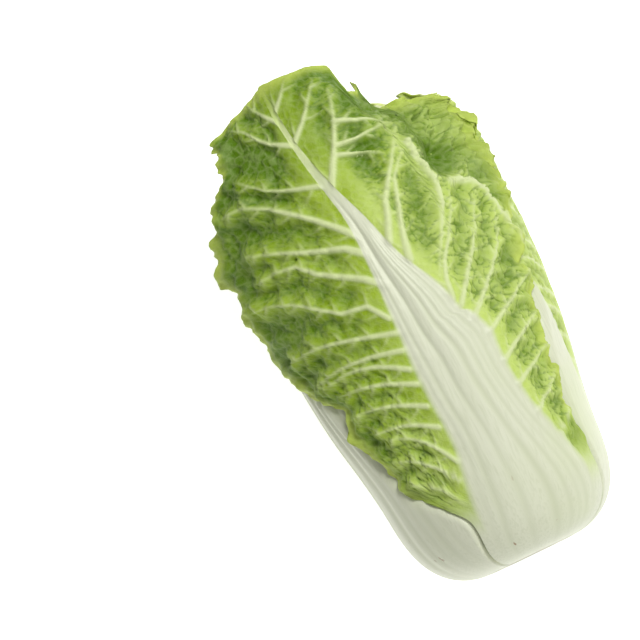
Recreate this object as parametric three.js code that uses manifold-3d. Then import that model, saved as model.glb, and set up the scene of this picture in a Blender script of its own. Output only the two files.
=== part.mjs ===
// A napa cabbage head lying on its side: a cut stem end, nested leaves with thick white ribs and waved blades,
// and a dense heart. Millimetres, +Z up. The head's axis runs along Y, with the stem end at low Y.
import * as THREE from "three";
import { mergeVertices } from "three/addons/utils/BufferGeometryUtils.js";
import Module from "manifold-3d";

const wasm = await Module();
wasm.setup();

// Driving sizes of the head, in millimetres
const AXIS_HEIGHT = 70;
// How deep the leaf below is pressed flat, and what the softer leaves above it give way by
const FLATTENED = 2.5;
const STEM_RADIUS = 26;
const STEM_LENGTH = 43;
const SHOULDER_Y = 60;
const SHOULDER_RADIUS = 66;
const BARREL_SWELL = 13;
// How much wider than high its barrel is
const OVAL = 0.055;
const CLOSING_Y = 215;
const CLOSED_Y = 300;
const HEART_START_Y = 44;
const HEART_SHOULDER_RADIUS = 30;
const HEART_SWELL = 18;
const HEART_CLOSING_Y = 205;
const HEART_CLOSED_Y = 282;
const LEAF_GAP = 0.7;
const BLADE_THICKNESS = 1.2;
const EDGE_THICKNESS = 1.6;

// Share of a leaf's rows that go round the rounded stem end
const BASE_SHARE = 0.2;
// Share of a leaf's columns that lie on its rib
const RIB_COLUMNS = 0.24;

const RIB_COLOUR = 0xe9ebdd;
const BLADE_COLOUR = 0x8fb545;
const YOUNG_COLOUR = 0xc9d67a;

const mix = (a, b, k) => a + (b - a) * k;
const clamp = (x, low, high) => Math.min(high, Math.max(low, x));
const radians = THREE.MathUtils.degToRad;

function smooth(from, to, x) {
  const k = clamp((x - from) / (to - from), 0, 1);
  return k * k * (3 - 2 * k);
}

// A smooth curve through [x, value] stations.
function through(stations) {
  const slope = (i) => {
    const [a, b] = [Math.max(i - 1, 0), Math.min(i + 1, stations.length - 1)];
    return (stations[b][1] - stations[a][1]) / (stations[b][0] - stations[a][0]);
  };
  return (x) => {
    const at = clamp(x, stations[0][0], stations[stations.length - 1][0]);
    const i = clamp(stations.findIndex(([s]) => s >= at) - 1, 0, stations.length - 2);
    const [[x0, y0], [x1, y1]] = [stations[i], stations[i + 1]];
    const step = x1 - x0;
    const k = (at - x0) / step;
    const lift = k * (1 - k) ** 2 * slope(i) - k * k * (1 - k) * slope(i + 1);
    return mix(y0, y1, k * k * (3 - 2 * k)) + step * lift;
  };
}

// The head's outer radius, and the radius that the inner leaves close round
const swell = (y) => BARREL_SWELL * smooth(20, 190, y);
const closing = (y, from, to) => Math.sqrt(Math.max(0.02, 1 - clamp((y - from) / (to - from), 0, 1) ** 2.4));
const headRadius = (y) => (SHOULDER_RADIUS + swell(y)) * closing(y, CLOSING_Y, CLOSED_Y);
const heartRadius = (y) =>
  (HEART_SHOULDER_RADIUS + HEART_SWELL * smooth(SHOULDER_Y, 160, y)) * closing(y, HEART_CLOSING_Y, HEART_CLOSED_Y);

// A point of the layer at this depth, 0 on the head's outside and 1 on the heart. step runs along the leaf: up to
// BASE_SHARE round the stem end, and on to tipY.
function layerPoint(depth, step, tipY) {
  if (step > BASE_SHARE) {
    const y = mix(SHOULDER_Y, tipY, (step - BASE_SHARE) / (1 - BASE_SHARE));
    return { y, r: mix(headRadius(y), heartRadius(y), depth), turn: 1 };
  }
  const bend = (step / BASE_SHARE) * (Math.PI / 2);
  const along = 1 - Math.max(0, Math.cos(bend)) ** (2 / 3);
  const outward = Math.sin(bend);
  const outerY = SHOULDER_Y * along;
  const outerRadius = mix(STEM_RADIUS + LEAF_GAP, SHOULDER_RADIUS, outward) + swell(outerY);
  const innerRadius = mix(STEM_RADIUS + LEAF_GAP, HEART_SHOULDER_RADIUS, outward);
  return {
    y: mix(outerY, mix(HEART_START_Y, SHOULDER_Y, along), depth),
    r: mix(outerRadius, innerRadius, depth),
    turn: outward,
  };
}

// A point this far from the axis, at an angle from the top towards +X. The head's weight presses its lower half
// together, and nothing goes below lowest.
function place(y, r, degrees, lowest) {
  const angle = radians(degrees);
  const given = Math.max(0, 1 - (AXIS_HEIGHT + FLATTENED) / headRadius(y)) * smooth(0, 0.8, -Math.cos(angle));
  const z = AXIS_HEIGHT + r * Math.cos(angle) * (1 - given);
  const x = r * Math.sin(angle) * (1 + OVAL * smooth(50, 120, y));
  return new THREE.Vector3(x, y, Math.max(z, lowest));
}

// Turns a body revolved round the Y axis into a part of the head.
function settle(geometry) {
  const position = geometry.attributes.position;
  for (let i = 0; i < position.count; i++) {
    const [x, y, z] = [position.getX(i), position.getY(i), position.getZ(i)];
    position.setXYZ(i, ...place(y, Math.hypot(x, z), THREE.MathUtils.radToDeg(Math.atan2(x, z)), 0));
  }
  return geometry;
}

// Crinkles that all the leaves share at the leafy end, so that they nest
function crinkle(y, degrees) {
  const height = 3 * smooth(225, 275, y);
  const angle = radians(degrees);
  return height * (0.6 * Math.sin(7 * angle + 0.05 * y) + 0.4 * Math.sin(4 * angle - 0.04 * y + 1));
}

// A closed shell between two grids of points, split into triangles alike on both faces.
function shell(rows, columns, facesAt) {
  const outer = [];
  const inner = [];
  for (let i = 0; i <= rows; i++) {
    for (let j = 0; j <= columns; j++) {
      const [out, back] = facesAt(i, j);
      outer.push(...out);
      inner.push(...back);
    }
  }
  const across = columns + 1;
  const offset = (rows + 1) * across;
  const index = [];
  const quad = (a, b, c, d) => index.push(a, b, c, a, c, d);
  for (let i = 0; i < rows; i++) {
    for (let j = 0; j < columns; j++) {
      const [a, b] = [i * across + j, (i + 1) * across + j];
      quad(a, a + 1, b + 1, b);
      index.push(a + offset, b + 1 + offset, a + 1 + offset, a + offset, b + offset, b + 1 + offset);
    }
  }
  const edge = [];
  for (let j = 0; j < columns; j++) edge.push(j);
  for (let i = 0; i < rows; i++) edge.push(i * across + columns);
  for (let j = columns; j > 0; j--) edge.push(rows * across + j);
  for (let i = rows; i > 0; i--) edge.push(i * across);
  edge.forEach((a, k) => {
    const b = edge[(k + 1) % edge.length];
    quad(b, a, a + offset, b + offset);
  });
  const geometry = new THREE.BufferGeometry();
  geometry.setAttribute("position", new THREE.Float32BufferAttribute([...outer, ...inner], 3));
  geometry.setIndex(index);
  return geometry;
}

// One leaf. Angles are degrees from the top towards +X. Its shape in the sheet is left and right of its rib, ended by
// topAt, and its layer is the range of depths that it keeps to, less where bareAt says that no leaf covers it.
function leaf(shape) {
  const { rows, columns, centreAt, leftAt, rightAt, ribAt, topAt, layerFrom, layerTo, bulgeAt, bareAt, sink } = shape;
  const facesAt = (i, j) => {
    const column = (2 * j) / columns - 1;
    const side = column < 0 ? -1 : 1;
    const tipY = topAt(column);
    // Rows rise from the rib towards the margins, as the side veins do.
    const plain = i / rows;
    const step = plain + shape.rise * Math.abs(column) * clamp(plain - BASE_SHARE, 0, 1) * (1 - plain);
    const { y } = layerPoint(0, step, tipY);
    const reach = side < 0 ? leftAt(y) : rightAt(y);
    const rib = ribAt(y);
    const ribColumn = clamp(rib / reach, 0.06, 0.6);
    const off = Math.abs(column);
    const v = off < RIB_COLUMNS
      ? (off / RIB_COLUMNS) * ribColumn
      : mix(ribColumn, 1, (off - RIB_COLUMNS) / (1 - RIB_COLUMNS));
    const margin = smooth(0.85, 1, v) * smooth(35, 75, y);
    const from = v * reach + margin * shape.jag * Math.sin(2.2 * i + side);
    const angle = centreAt(y) + side * from;
    const raised = layerFrom(y) * bareAt(y, angle);
    const out = layerPoint(layerFrom(y) - raised, step, tipY);
    const back = layerPoint(layerTo(y) - raised * smooth(62, 100, y), step, tipY);
    const thick = clamp(1 - (from / Math.max(rib, 2)) ** 2, 0, 1) ** 0.6;
    const ridge = thick * (j % 2 ? 0 : -0.6) * out.turn;
    const blade = (1 - thick) * smooth(...shape.bladeFrom, y);
    const vein = blade * smooth(0, 0.2, v - ribColumn) * (i % 2 ? sink : 0);
    const lifted = bulgeAt(y, angle, out.r) + margin * shape.frill * (0.5 + 0.5 * Math.sin(1.5 * i));
    const waved = crinkle(y, angle) + lifted;
    const outRadius = out.r + ridge - vein - blade * shape.ribRise + waved;
    const thin = Math.min(outRadius - mix(EDGE_THICKNESS, BLADE_THICKNESS, blade), out.r + waved - 1);
    // Round the stem end the leaf is as thick as its layer, and thinner at its edges.
    const full = mix(0.25, 1, thick);
    const backRadius = mix(thin, back.r + waved, out.turn * thick);
    const backY = mix(out.y, back.y, full);
    return [
      place(out.y, outRadius, angle, 0),
      place(backY, mix(mix(out.r, back.r, full), backRadius, out.turn), angle, BLADE_THICKNESS),
    ];
  };
  return shell(rows, columns, facesAt);
}

// The front leaf, broad and loose, with its torn top margin
const FRONT_CENTRE = through([
  [0, 14], [28, 12.5], [50, 9.5], [70, 6.8], [95, 4], [118, 3], [133, 0.3], [152, -1.5], [178, -5.7], [206, -8.7],
  [230, -13], [252, -16.5], [270, -18.5], [290, -20], [304, -21],
]);
const FRONT_LEFT = through([
  [0, 46], [28, 38], [45, 48], [59, 58], [82, 62], [117, 64], [143, 77], [160, 81], [196, 66], [220, 66], [252, 47],
  [272, 30.5], [283, 31], [296, 29],
]);
const FRONT_RIGHT = through([
  [0, 50], [30, 42], [48, 40], [76, 41], [108, 44], [134, 51], [147, 54], [165, 58], [186, 66], [197, 71], [214, 76],
  [248, 80], [265, 70], [304, 61],
]);
const FRONT_RIB = through([
  [0, 46], [28, 37], [50, 29.5], [70, 23.2], [95, 20], [118, 18.5], [133, 14.8], [152, 12], [178, 6.8], [206, 3.7],
  [228, 2.2], [258, 1.3], [304, 0.6],
]);
const FRONT_TOP = through([
  [-1, 289], [-0.73, 295], [-0.41, 299], [0, 302], [0.36, 300], [0.535, 296], [0.555, 280], [0.61, 277], [0.64, 278],
  [0.655, 284], [0.68, 266], [0.8, 266], [0.9, 264], [1, 246],
]);
// Past the closing head, the radii of its tip, which stays straight, and of its right side, which folds over
const FRONT_TIP_RADIUS = through([[205, 79], [240, 80], [280, 78], [314, 72]]);
const FRONT_FOLD_RADIUS = through([[205, 78], [224, 76], [245, 72], [263, 66], [280, 58], [300, 46]]);

function frontBulge(y, degrees, r) {
  const spread = 12 * smooth(120, 215, y) * mix(1, 0.5, smooth(235, 320, y));
  const left = spread * smooth(-22, -76, degrees);
  const right = 3 * smooth(120, 180, y) * smooth(30, 80, degrees);
  const own = mix(FRONT_TIP_RADIUS(y), FRONT_FOLD_RADIUS(y), smooth(0, 38, degrees));
  // The fold on the right: a channel between two ridges that meet in an arch
  const channel = Math.exp(-(((y - 212) / 24) ** 2) - ((degrees - 18) / 7) ** 2);
  const arch = Math.exp(-(((y - 212) / 34) ** 2) - ((degrees - 18) / 15) ** 2);
  return left + right + (own - r) * smooth(205, 225, y) + 3 * arch - 5.5 * channel;
}

const wrapperReach = (y, half, footHalf = 48) => mix(footHalf, half, smooth(95, 190, y));

// The leaf below, by its rib's angle, its twist and its blade's half width in degrees
const UNDER = { centre: 188, twist: 6, half: 82 };
const underEdge = (y, side) => UNDER.centre + UNDER.twist * smooth(60, 280, y) + side * wrapperReach(y, UNDER.half);

// Where a side leaf is covered neither by the front leaf nor by the leaf below: 1 there, and 0 a little before
// their edges
const OVERLAP = 3;
const TUCK = 13;
function bareLeft(y, degrees) {
  const front = FRONT_CENTRE(y) - FRONT_LEFT(y);
  const under = underEdge(y, 1) - 360;
  return smooth(front - OVERLAP, front - TUCK, degrees) * smooth(under + OVERLAP, under + TUCK, degrees);
}
function bareRight(y, degrees) {
  const front = FRONT_CENTRE(y) + FRONT_RIGHT(y);
  const under = underEdge(y, -1);
  return smooth(front + OVERLAP, front + TUCK, degrees) * smooth(under - OVERLAP, under - TUCK, degrees);
}

// A wrapper or inner leaf of the closed head, of the same build all round
function headLeaf({
  centre, twist, half, footHalf, tip, petioleLayer, bladeLayer, rows, columns, frill, sink, bareAt,
}) {
  const layer = (k) => (y) => mix(petioleLayer[k], bladeLayer[k], smooth(62, 100, y));
  const reach = (y) => wrapperReach(y, half, footHalf);
  return leaf({
    rows,
    columns,
    centreAt: (y) => centre + twist * smooth(60, 280, y),
    leftAt: reach,
    rightAt: reach,
    ribAt: through([[0, 47], [40, 42], [110, 24], [170, 12], [230, 4], [300, 1.5]]),
    topAt: (column) => tip - 46 * Math.abs(column) ** 2.2 + 5 * Math.sin(9 * column + centre),
    layerFrom: layer(0),
    layerTo: layer(1),
    bulgeAt: () => 0,
    bareAt: bareAt ?? (() => 0),
    rise: 0.7,
    ribRise: 0.8,
    jag: 2.2,
    bladeFrom: [60, 100],
    frill,
    sink,
  });
}

// The stem, with its cut face square to the axis and a slightly raised rim round it
function stem() {
  const profile = [
    [0, 0.8],
    [STEM_RADIUS - 5, 0.8],
    [STEM_RADIUS - 2.5, 0],
    [STEM_RADIUS - 0.6, 0.6],
    [STEM_RADIUS, 2.5],
    [STEM_RADIUS, 34],
    [STEM_RADIUS - 6, STEM_LENGTH],
    [0, STEM_LENGTH],
  ];
  const points = profile.map(([r, y]) => new THREE.Vector2(r, y));
  return settle(new THREE.LatheGeometry(points, 32));
}

function solid(geometry) {
  for (const name of ["normal", "uv"]) geometry.deleteAttribute(name);
  const merged = mergeVertices(geometry, 1e-3);
  const mesh = { numProp: 3, vertProperties: merged.attributes.position.array, triVerts: new Uint32Array(merged.index.array) };
  return new wasm.Manifold(new wasm.Mesh(mesh));
}

function geometryOf(manifold) {
  const { vertProperties, triVerts } = manifold.getMesh();
  const geometry = new THREE.BufferGeometry();
  geometry.setAttribute("position", new THREE.Float32BufferAttribute(vertProperties, 3));
  geometry.setIndex(new THREE.BufferAttribute(triVerts, 1));
  return geometry;
}

// The heart: a core with shallow folds, and the crinkled tips of the young leaves that stand out of it
const CORE_TOP = 250;
const TIP_RINGS = [
  { radius: 33, tip: 268, count: 3, turn: 20, half: 52 },
  { radius: 23, tip: 273, count: 2, turn: 75, half: 72 },
  { radius: 12, tip: 277, count: 2, turn: 150, half: 76 },
];

function heart() {
  const points = [new THREE.Vector2(0, HEART_START_Y)];
  for (const y of [HEART_START_Y, 60, 90, 125, 165, 200, 222, 238]) {
    points.push(new THREE.Vector2((heartRadius(y) - 2) * closing(y, 185, CORE_TOP + 4), y));
  }
  points.push(new THREE.Vector2(0, CORE_TOP));
  let body = solid(settle(new THREE.LatheGeometry(points, 24)));
  for (const ring of TIP_RINGS) {
    for (let k = 0; k < ring.count; k++) body = body.add(solid(youngTip(ring, k)));
  }
  return geometryOf(body);
}

function youngTip({ radius, tip, count, turn, half }, k) {
  const rows = 7;
  const columns = 9;
  const rootY = 205;
  return shell(rows, columns, (i, j) => {
    const column = (2 * j) / columns - 1;
    const up = i / rows;
    const y = mix(rootY, tip - 9 * column * column, up);
    const angle = turn + (360 * k) / count + column * half;
    const wave = up * up * 1.6 * Math.sin(0.9 * j + 1.7 * k + 0.6 * i);
    const r = radius * (1 - 0.3 * up * up) + wave;
    return [place(y, r, angle, 0), place(y, r - EDGE_THICKNESS, angle, 0)];
  });
}

const pieces = [
  ["stem", stem(), RIB_COLOUR],
  [
    "leaf_front",
    leaf({
      rows: 34,
      columns: 26,
      centreAt: FRONT_CENTRE,
      leftAt: FRONT_LEFT,
      rightAt: FRONT_RIGHT,
      ribAt: FRONT_RIB,
      topAt: FRONT_TOP,
      layerFrom: () => 0,
      layerTo: (y) => mix(0.205, 0.14, smooth(62, 100, y)),
      bulgeAt: frontBulge,
      bareAt: () => 0,
      rise: 0.8,
      ribRise: 1.8,
      jag: 2.2,
      bladeFrom: [28, 62],
      frill: 3,
      sink: 2.6,
    }),
    BLADE_COLOUR,
  ],
  [
    "leaf_under",
    headLeaf({
      ...UNDER, tip: 287, petioleLayer: [0, 0.205], bladeLayer: [0, 0.14],
      rows: 22, columns: 16, frill: 1.5, sink: 1.5,
    }),
    BLADE_COLOUR,
  ],
  [
    "leaf_left",
    headLeaf({
      centre: -76, twist: -8, half: 92, footHalf: 60, tip: 282, petioleLayer: [0.235, 0.41],
      bladeLayer: [0.22, 0.33], rows: 22, columns: 16, frill: 0.6, sink: 1, bareAt: bareLeft,
    }),
    BLADE_COLOUR,
  ],
  [
    "leaf_right",
    headLeaf({
      centre: 103, twist: -4, half: 92, footHalf: 60, tip: 284, petioleLayer: [0.235, 0.41],
      bladeLayer: [0.36, 0.47], rows: 22, columns: 16, frill: 0.6, sink: 1, bareAt: bareRight,
    }),
    BLADE_COLOUR,
  ],
  ...[
    [36, 0.44, 0.5, 279],
    [-140, 0.62, 0.64, 277],
    [150, 0.8, 0.78, 274],
  ].map(([centre, petiole, blade, tip], k) => [
    `leaf_inner_${k + 1}`,
    headLeaf({
      centre, twist: 10, half: 100, tip, petioleLayer: [petiole, petiole + 0.15],
      bladeLayer: [blade, blade + 0.11], rows: 18, columns: 14, frill: 0.4, sink: 0.8,
    }),
    YOUNG_COLOUR,
  ]),
  ["heart", heart(), YOUNG_COLOUR],
];

// The head stands over the middle of its own box, with its lowest point on the floor.
const head = new THREE.Group();
for (const [name, geometry, colour] of pieces) {
  const material = new THREE.MeshStandardMaterial({ color: colour, roughness: 0.5, metalness: 0 });
  const mesh = new THREE.Mesh(geometry, material);
  mesh.name = name;
  head.add(mesh);
}
const box = new THREE.Box3().setFromObject(head);
const middle = box.getCenter(new THREE.Vector3());
head.position.set(-middle.x, -middle.y, -box.min.z);

export default head;
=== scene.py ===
"""A napa cabbage head lying on its side: nested waved leaves on a short cut stem, seen from above."""

from types import SimpleNamespace

import bpy
import numpy as np
from mathutils import Matrix, Vector, noise


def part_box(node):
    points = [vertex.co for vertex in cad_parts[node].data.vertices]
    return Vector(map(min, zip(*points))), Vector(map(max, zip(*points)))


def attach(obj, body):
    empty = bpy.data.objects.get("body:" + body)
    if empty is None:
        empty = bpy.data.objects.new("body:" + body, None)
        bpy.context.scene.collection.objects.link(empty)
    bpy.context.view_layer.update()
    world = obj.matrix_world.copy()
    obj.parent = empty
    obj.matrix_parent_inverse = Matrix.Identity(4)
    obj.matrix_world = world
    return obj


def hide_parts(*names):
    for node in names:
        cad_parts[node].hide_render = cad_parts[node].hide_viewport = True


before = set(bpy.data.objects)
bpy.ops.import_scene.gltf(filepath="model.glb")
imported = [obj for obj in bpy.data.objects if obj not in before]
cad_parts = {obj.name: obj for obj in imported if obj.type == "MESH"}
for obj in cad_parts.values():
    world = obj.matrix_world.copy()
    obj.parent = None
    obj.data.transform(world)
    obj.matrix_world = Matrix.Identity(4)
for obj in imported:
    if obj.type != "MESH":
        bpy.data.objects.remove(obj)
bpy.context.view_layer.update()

# Sizes of the head, in millimetres, as in the CAD model
AXIS_HEIGHT = 70
FLATTENED = 2.5
STEM_RADIUS = 26
STEM_LENGTH = 43
SHOULDER_Y = 60
SHOULDER_RADIUS = 66
BARREL_SWELL = 13
OVAL = 0.055
CLOSING_Y = 215
CLOSED_Y = 300
HEART_START_Y = 44
HEART_SHOULDER_RADIUS = 30
HEART_SWELL = 18
HEART_CLOSING_Y = 205
HEART_CLOSED_Y = 282
LEAF_GAP = 0.7
BLADE_THICKNESS = 1.2
EDGE_THICKNESS = 1.6
CORE_TOP = 250
FULL_LENGTH = 314
MILLIMETRE = 0.001

# Shares of a leaf's rows that round the head's base, and of its columns that lie on its rib
BASE_SHARE = 0.2
RIB_COLUMNS = 0.24

# Radius that degrees round the head are measured off on, to lay a leaf's veins out flat
SHEET_RADIUS = 80

STEM_LOW, STEM_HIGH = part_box("stem")
HEAD_X = (STEM_LOW.x + STEM_HIGH.x) / 2
HEAD_Y = STEM_LOW.y


def clamp(x, low, high):
    return np.minimum(high, np.maximum(low, x))


def mix(a, b, k):
    return a + (b - a) * k


def smooth(start, end, x):
    k = clamp((x - start) / (end - start), 0, 1)
    return k * k * (3 - 2 * k)


def through(stations):
    """A smooth curve through (x, value) stations."""
    xs, values = (np.array(part, float) for part in zip(*stations))
    last = len(xs) - 1
    before = np.maximum(np.arange(last + 1) - 1, 0)
    after = np.minimum(np.arange(last + 1) + 1, last)
    slopes = (values[after] - values[before]) / (xs[after] - xs[before])

    def curve(x):
        at = clamp(x, xs[0], xs[-1])
        i = clamp(np.searchsorted(xs, at) - 1, 0, last - 1)
        step = xs[i + 1] - xs[i]
        k = (at - xs[i]) / step
        lift = k * (1 - k) ** 2 * slopes[i] - k * k * (1 - k) * slopes[i + 1]
        return mix(values[i], values[i + 1], k * k * (3 - 2 * k)) + step * lift

    return curve


def closing(y, start, end):
    return np.sqrt(np.maximum(0.02, 1 - clamp((y - start) / (end - start), 0, 1) ** 2.4))


def swell(y):
    return BARREL_SWELL * smooth(20, 190, y)


def head_radius(y):
    return (SHOULDER_RADIUS + swell(y)) * closing(y, CLOSING_Y, CLOSED_Y)


def heart_radius(y):
    width = HEART_SHOULDER_RADIUS + HEART_SWELL * smooth(SHOULDER_Y, 160, y)
    return width * closing(y, HEART_CLOSING_Y, HEART_CLOSED_Y)


def layer_point(depth, step, tip_y):
    """Place along the head, radius and turn of the layer at this depth: 0 is the outside and 1 the heart."""
    y = mix(SHOULDER_Y, tip_y, (step - BASE_SHARE) / (1 - BASE_SHARE))
    r = mix(head_radius(y), heart_radius(y), depth)
    bend = clamp(step / BASE_SHARE, 0, 1) * np.pi / 2
    along = 1 - np.maximum(0, np.cos(bend)) ** (2 / 3)
    outward = np.sin(bend)
    outer_y = SHOULDER_Y * along
    outer_radius = mix(STEM_RADIUS + LEAF_GAP, SHOULDER_RADIUS, outward) + swell(outer_y)
    inner_radius = mix(STEM_RADIUS + LEAF_GAP, HEART_SHOULDER_RADIUS, outward)
    base_y = mix(outer_y, mix(HEART_START_Y, SHOULDER_Y, along), depth)
    base_r = mix(outer_radius, inner_radius, depth)
    past = step > BASE_SHARE
    return np.where(past, y, base_y), np.where(past, r, base_r), np.where(past, 1, outward)


def place(y, r, degrees, lowest):
    """Points in metres on the floor's frame. The head's weight presses its lower half together."""
    angle = np.radians(degrees)
    given = np.maximum(0, 1 - (AXIS_HEIGHT + FLATTENED) / head_radius(y)) * smooth(0, 0.8, -np.cos(angle))
    z = np.maximum(AXIS_HEIGHT + r * np.cos(angle) * (1 - given), lowest)
    x = r * np.sin(angle) * (1 + OVAL * smooth(50, 120, y))
    return np.stack([x * MILLIMETRE + HEAD_X, y * MILLIMETRE + HEAD_Y, z * MILLIMETRE], axis=-1)


def crinkle(y, degrees):
    """Crinkles that all the leaves share at the leafy end, so that they nest."""
    angle = np.radians(degrees)
    waves = 0.6 * np.sin(7 * angle + 0.05 * y) + 0.4 * np.sin(4 * angle - 0.04 * y + 1)
    return 3 * smooth(225, 275, y) * waves


def bumps(y, across, size, seed):
    """Smooth noise from -1 to 1 over a leaf, with lumps of this size in millimetres."""
    places = zip(y.ravel(), np.broadcast_to(across, y.shape).ravel())
    heights = [noise.noise(Vector((a / size, b / size, seed * 7.3))) for a, b in places]
    return np.array(heights).reshape(y.shape)


def cells(y, across, size, seed):
    """1 on the borders of small uneven cells over a leaf, falling to 0 inside them."""
    borders = []
    for a, b in zip(y.ravel(), across.ravel()):
        near = noise.voronoi(Vector((a / size, b / size, seed * 3.1)))[0]
        borders.append(near[1] - near[0])
    return 1 - smooth(0, 0.35, np.array(borders).reshape(y.shape))


# Veins and wrinkles

def wrinkles(y, across, size, seed):
    """1 along the fine creases of a crinkled blade."""
    return smooth(0.1, 0, np.abs(bumps(y, across, size, seed)))


def curved(points, count=7):
    """A vein as a smooth line of points through the given ones."""
    points = np.array(points, float)
    steps = np.concatenate([[0], np.cumsum(np.hypot(*np.diff(points, axis=0).T))])
    at = np.linspace(0, steps[-1], count)
    return np.stack([through(list(zip(steps, points[:, k])))(at) for k in (0, 1)], axis=-1)


def branches(line, spacing, reach, rng):
    """Smaller veins that leave a vein by turns on either side, shorter towards its end."""
    found = []
    length = np.hypot(*np.diff(line, axis=0).T).sum()
    count = max(2, int(length / spacing))
    for k in range(count):
        t = (k + 0.6 + rng.uniform(-0.2, 0.2)) / (count + 0.3)
        index = min(int(t * (len(line) - 1)), len(line) - 2)
        start = mix(line[index], line[index + 1], t * (len(line) - 1) - index)
        along = (line[index + 1] - line[index]) / np.hypot(*(line[index + 1] - line[index]))
        side = 1 if k % 2 else -1
        turn = side * np.radians(rng.uniform(48, 66))
        way = np.array([
            along[0] * np.cos(turn) - along[1] * np.sin(turn),
            along[0] * np.sin(turn) + along[1] * np.cos(turn),
        ])
        size = reach * (1.1 - 0.55 * t) * rng.uniform(0.8, 1.15)
        middle = start + way * size * 0.5 + along * size * 0.04
        end = start + way * size * 0.92 + along * size * 0.26
        found.append(curved([start, middle, end], 4))
    return found


def ridges(y, across, lines, root_width, end_width):
    """How high these veins stand at each point, up to 1 on a crest, and the distance to the nearest."""
    height = np.zeros_like(y)
    nearest = np.full_like(y, 1e3)
    for line in lines:
        distance = np.full_like(y, 1e3)
        along = np.zeros_like(y)
        last = len(line) - 1
        for k in range(last):
            (y0, a0), (y1, a1) = line[k], line[k + 1]
            length = (y1 - y0) ** 2 + (a1 - a0) ** 2
            t = clamp(((y - y0) * (y1 - y0) + (across - a0) * (a1 - a0)) / length, 0, 1)
            gap = np.hypot(y - mix(y0, y1, t), across - mix(a0, a1, t))
            closer = gap < distance
            distance = np.where(closer, gap, distance)
            along = np.where(closer, (k + t) / last, along)
        width = mix(root_width, end_width, along)
        height = np.maximum(height, np.exp(-((distance / width) ** 2)) * mix(1, 0.35, along))
        nearest = np.minimum(nearest, distance)
    return height, nearest


def sheet_lines(veins):
    """Veins given in millimetres along the head and degrees round it, laid out flat in millimetres."""
    return [curved([(y, np.radians(degrees) * SHEET_RADIUS) for y, degrees in vein]) for vein in veins]


def regular_veins(rib_at, half, rng):
    """Side veins of a head leaf, steeper towards its tip, as degrees from its rib."""
    veins = []
    for k in range(15):
        for side in (-1, 1):
            root = 72 + 13.5 * k + 5 * (side > 0) + rng.uniform(-2, 2)
            rib = float(rib_at(root))
            span = (half - rib) * 0.9
            climb = mix(0.25, 0.95, float(smooth(80, 260, root))) * np.radians(span) * SHEET_RADIUS * 0.6
            stations = [(0, 0), (0.3, 0.36), (0.65, 0.72), (1, 0.85)]
            veins.append([(root + climb * up, side * (rib * 0.7 + span * off)) for off, up in stations])
    return veins


# Leaf shapes

FRONT_CENTRE = through([
    (0, 14), (28, 12.5), (50, 9.5), (70, 6.8), (95, 4), (118, 3), (133, 0.3), (152, -1.5), (178, -5.7),
    (206, -8.7), (230, -13), (252, -16.5), (270, -18.5), (290, -20), (304, -21),
])
FRONT_LEFT = through([
    (0, 46), (28, 38), (45, 48), (59, 58), (82, 62), (117, 64), (143, 77), (160, 81), (196, 66), (220, 66),
    (252, 47), (272, 30.5), (283, 31), (296, 29),
])
FRONT_RIGHT = through([
    (0, 50), (30, 42), (48, 40), (76, 41), (108, 44), (134, 51), (147, 54), (165, 58), (186, 66), (197, 71),
    (214, 76), (248, 80), (265, 70), (304, 61),
])
FRONT_RIB = through([
    (0, 46), (28, 37), (50, 29.5), (70, 23.2), (95, 20), (118, 18.5), (133, 14.8), (152, 12), (178, 6.8),
    (206, 3.7), (228, 2.2), (258, 1.3), (304, 0.6),
])
FRONT_TOP = through([
    (-1, 289), (-0.73, 295), (-0.41, 299), (0, 302), (0.36, 300), (0.535, 296), (0.555, 280), (0.61, 277),
    (0.64, 278), (0.655, 284), (0.68, 266), (0.8, 266), (0.9, 264), (1, 246),
])
FRONT_TIP_RADIUS = through([(205, 79), (240, 80), (280, 78), (314, 72)])
FRONT_FOLD_RADIUS = through([(205, 78), (224, 76), (245, 72), (263, 66), (280, 58), (300, 46)])

# Side veins of the front leaf from its rib outwards, in millimetres along the head and degrees round it
FRONT_VEINS = [
    [(260, -17.5), (270, -28), (283, -35), (288, -40)],
    [(231, -14), (244, -34), (258, -44)],
    [(148, -14), (158, -17), (164, -32), (176, -42), (187, -54), (192, -68)],
    [(139, -14), (148, -33), (154, -49), (156, -66)],
    [(129, -15), (134, -28), (137, -44), (136, -60)],
    [(118, -16), (128, -28), (133, -42), (132, -56)],
    [(109, -16), (117, -28), (122, -40), (124, -52)],
    [(96, -17), (103, -27), (108, -38), (110, -50)],
    [(83, -17), (90, -26), (94, -35), (96, -47)],
    [(62, -17), (76, -24), (86, -33), (90, -42)],
    [(52, -20), (62, -26), (72, -35), (78, -46)],
    [(40, -24), (50, -29), (58, -37), (62, -44)],
    [(261, -17), (271, -9.5), (289, 0)],
    [(262, 0.5), (258, 8), (255, 15), (250, 22)],
    [(249, -3.5), (248, 4), (249, 11.5), (250, 21)],
    [(244, -5), (241, 1), (239, 6), (233, 12)],
    [(143, 12), (160, 14), (185, 25.5), (201, 31)],
    [(138, 14), (160, 26), (174, 33), (195, 41)],
    [(128, 16), (150, 33), (171, 45), (184, 48)],
    [(118, 20), (132, 38), (146, 55)],
    [(101, 22), (113, 37), (124, 53)],
    [(86, 24), (95, 37), (103, 48)],
    [(68, 28), (78, 39), (86, 46)],
    [(50, 34), (60, 43), (68, 48)],
    [(276, -19), (286, -25), (296, -30)],
    [(282, -19.5), (289, -14), (297, -10)],
]
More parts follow.
